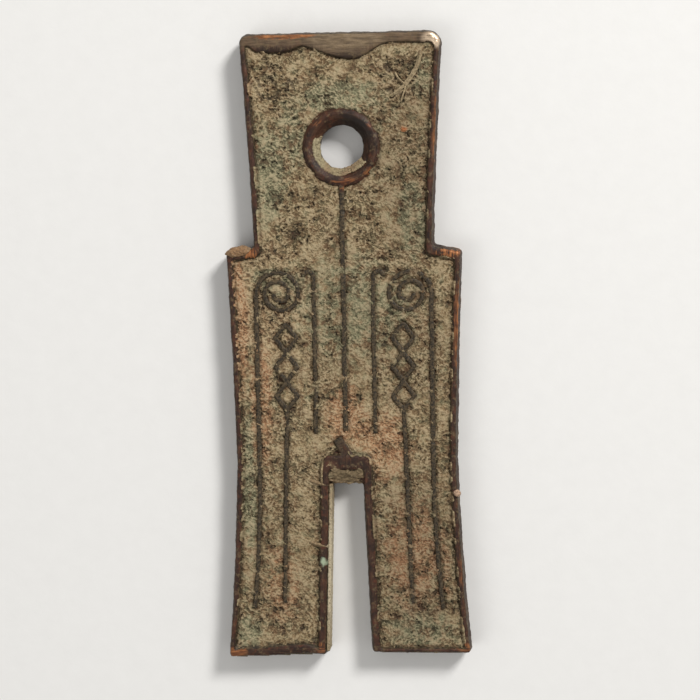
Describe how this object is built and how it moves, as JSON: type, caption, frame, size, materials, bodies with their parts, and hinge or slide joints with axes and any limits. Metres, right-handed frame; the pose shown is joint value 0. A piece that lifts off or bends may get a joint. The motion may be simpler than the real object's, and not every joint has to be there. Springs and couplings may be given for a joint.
{
  "type": "cast bronze spade coin",
  "caption": "Flat spade-shaped bronze coin with raised rims, a collared string hole, raised line ornament and burial crust.",
  "frame": {"origin": "middle of the coin's footprint, on the plane that its back rims rest on", "axes": "+X to the right across the front, +Y to the head, +Z out of the front face"},
  "size_m": [0.023, 0.0582, 0.003],
  "materials": {
    "worn_bronze": "dark brown cast bronze, rubbed to a copper sheen on the rims' crests",
    "field_crust": "rough tan and grey-green burial crust",
    "pale_crust": "pale dusty mineral crust"
  },
  "bodies": {
    "root": {"bronze_casting": "worn_bronze", "front_field_crust": "field_crust", "back_field_crust": "field_crust", "string_hole_crust": "pale_crust", "crotch_crust": "pale_crust", "left_leg_wall_crust": "pale_crust", "left_shoulder_crust": "pale_crust", "right_edge_bead": "pale_crust"}
  },
  "joints": []
}
